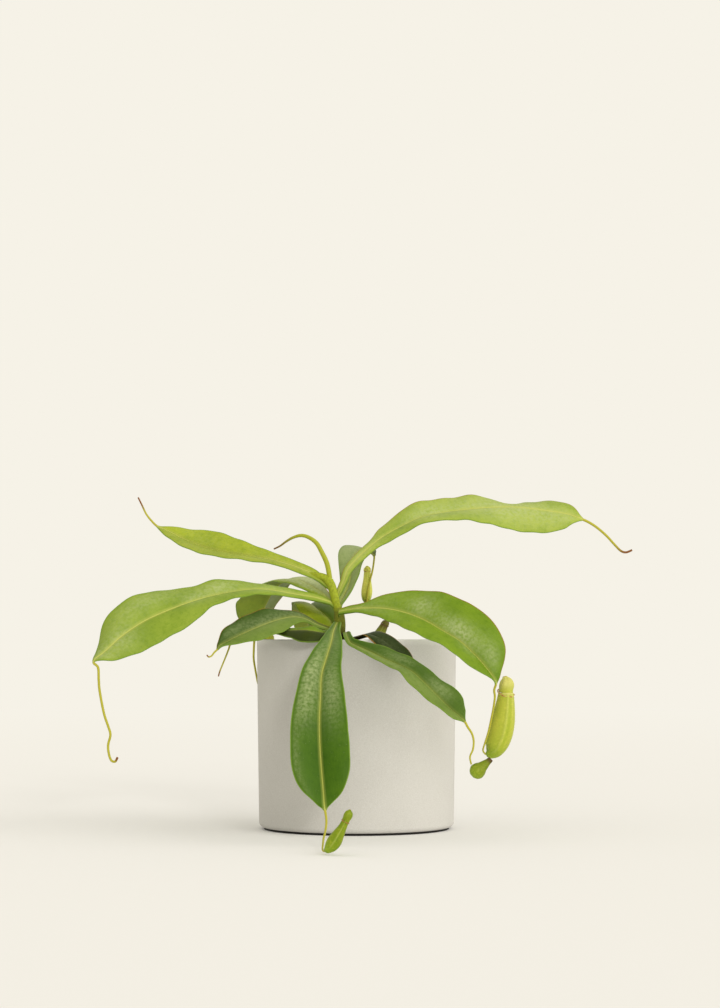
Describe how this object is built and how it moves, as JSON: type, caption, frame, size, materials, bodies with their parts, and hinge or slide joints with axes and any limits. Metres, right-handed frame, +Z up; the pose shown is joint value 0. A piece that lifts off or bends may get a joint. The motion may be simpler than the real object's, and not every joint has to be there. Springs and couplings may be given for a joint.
{
  "type": "potted pitcher plant",
  "caption": "Young tropical pitcher plant with long arching leaves, tendrils running on from their midribs and small lidded pitchers, in a plain straight-sided round pot.",
  "frame": {"origin": "centre of the pot's flat foot, on the surface that the pot stands on", "axes": "+Z up, -Y towards the front leaf, +X to the plant's right as seen from the front"},
  "size_m": [0.3464, 0.295, 0.2189],
  "materials": {
    "pot_ceramic": "matte, pale warm grey, fine even grain, unglazed look",
    "soil": "dark damp bark and moss potting mix",
    "stem": "olive brown at the foot, lime green sheath at the top, satin",
    "leaf_lime": "young lime green leaf, smooth satin, yellow midrib",
    "leaf_light": "light green leaf, satin, pale midrib and thin pale edge",
    "leaf_green": "mid green leaf, satin with a grey bloom, light midrib",
    "leaf_dark": "dark green leaf, satin with a cool sheen and small pale specks",
    "leaf_deep": "deep olive green leaf, satin, reddish edge",
    "pitcher": "yellow green pitcher, satin, thin reddish rim",
    "pitcher_olive": "olive green pitcher, satin, brown rim or tip"
  },
  "bodies": {
    "root": {"pot": "pot_ceramic", "soil": "soil", "stem": "stem", "leaf_spear": "leaf_lime", "leaf_upper_left": "leaf_lime", "leaf_long_left": "leaf_light", "leaf_back_left": "leaf_green", "leaf_dark_left": "leaf_dark", "leaf_back": "leaf_green", "leaf_low_left": "leaf_deep", "leaf_front": "leaf_green", "leaf_low_right": "leaf_dark", "leaf_dark_right": "leaf_deep", "leaf_right": "leaf_green", "leaf_upright_back": "leaf_dark", "leaf_long_right": "leaf_light", "pitcher_right": "pitcher", "pitcher_upright_back": "pitcher_olive", "pitcher_back_left": "pitcher", "pitcher_back": "pitcher_olive", "pitcher_bud_right": "pitcher_olive", "pitcher_front": "pitcher"}
  },
  "joints": []
}
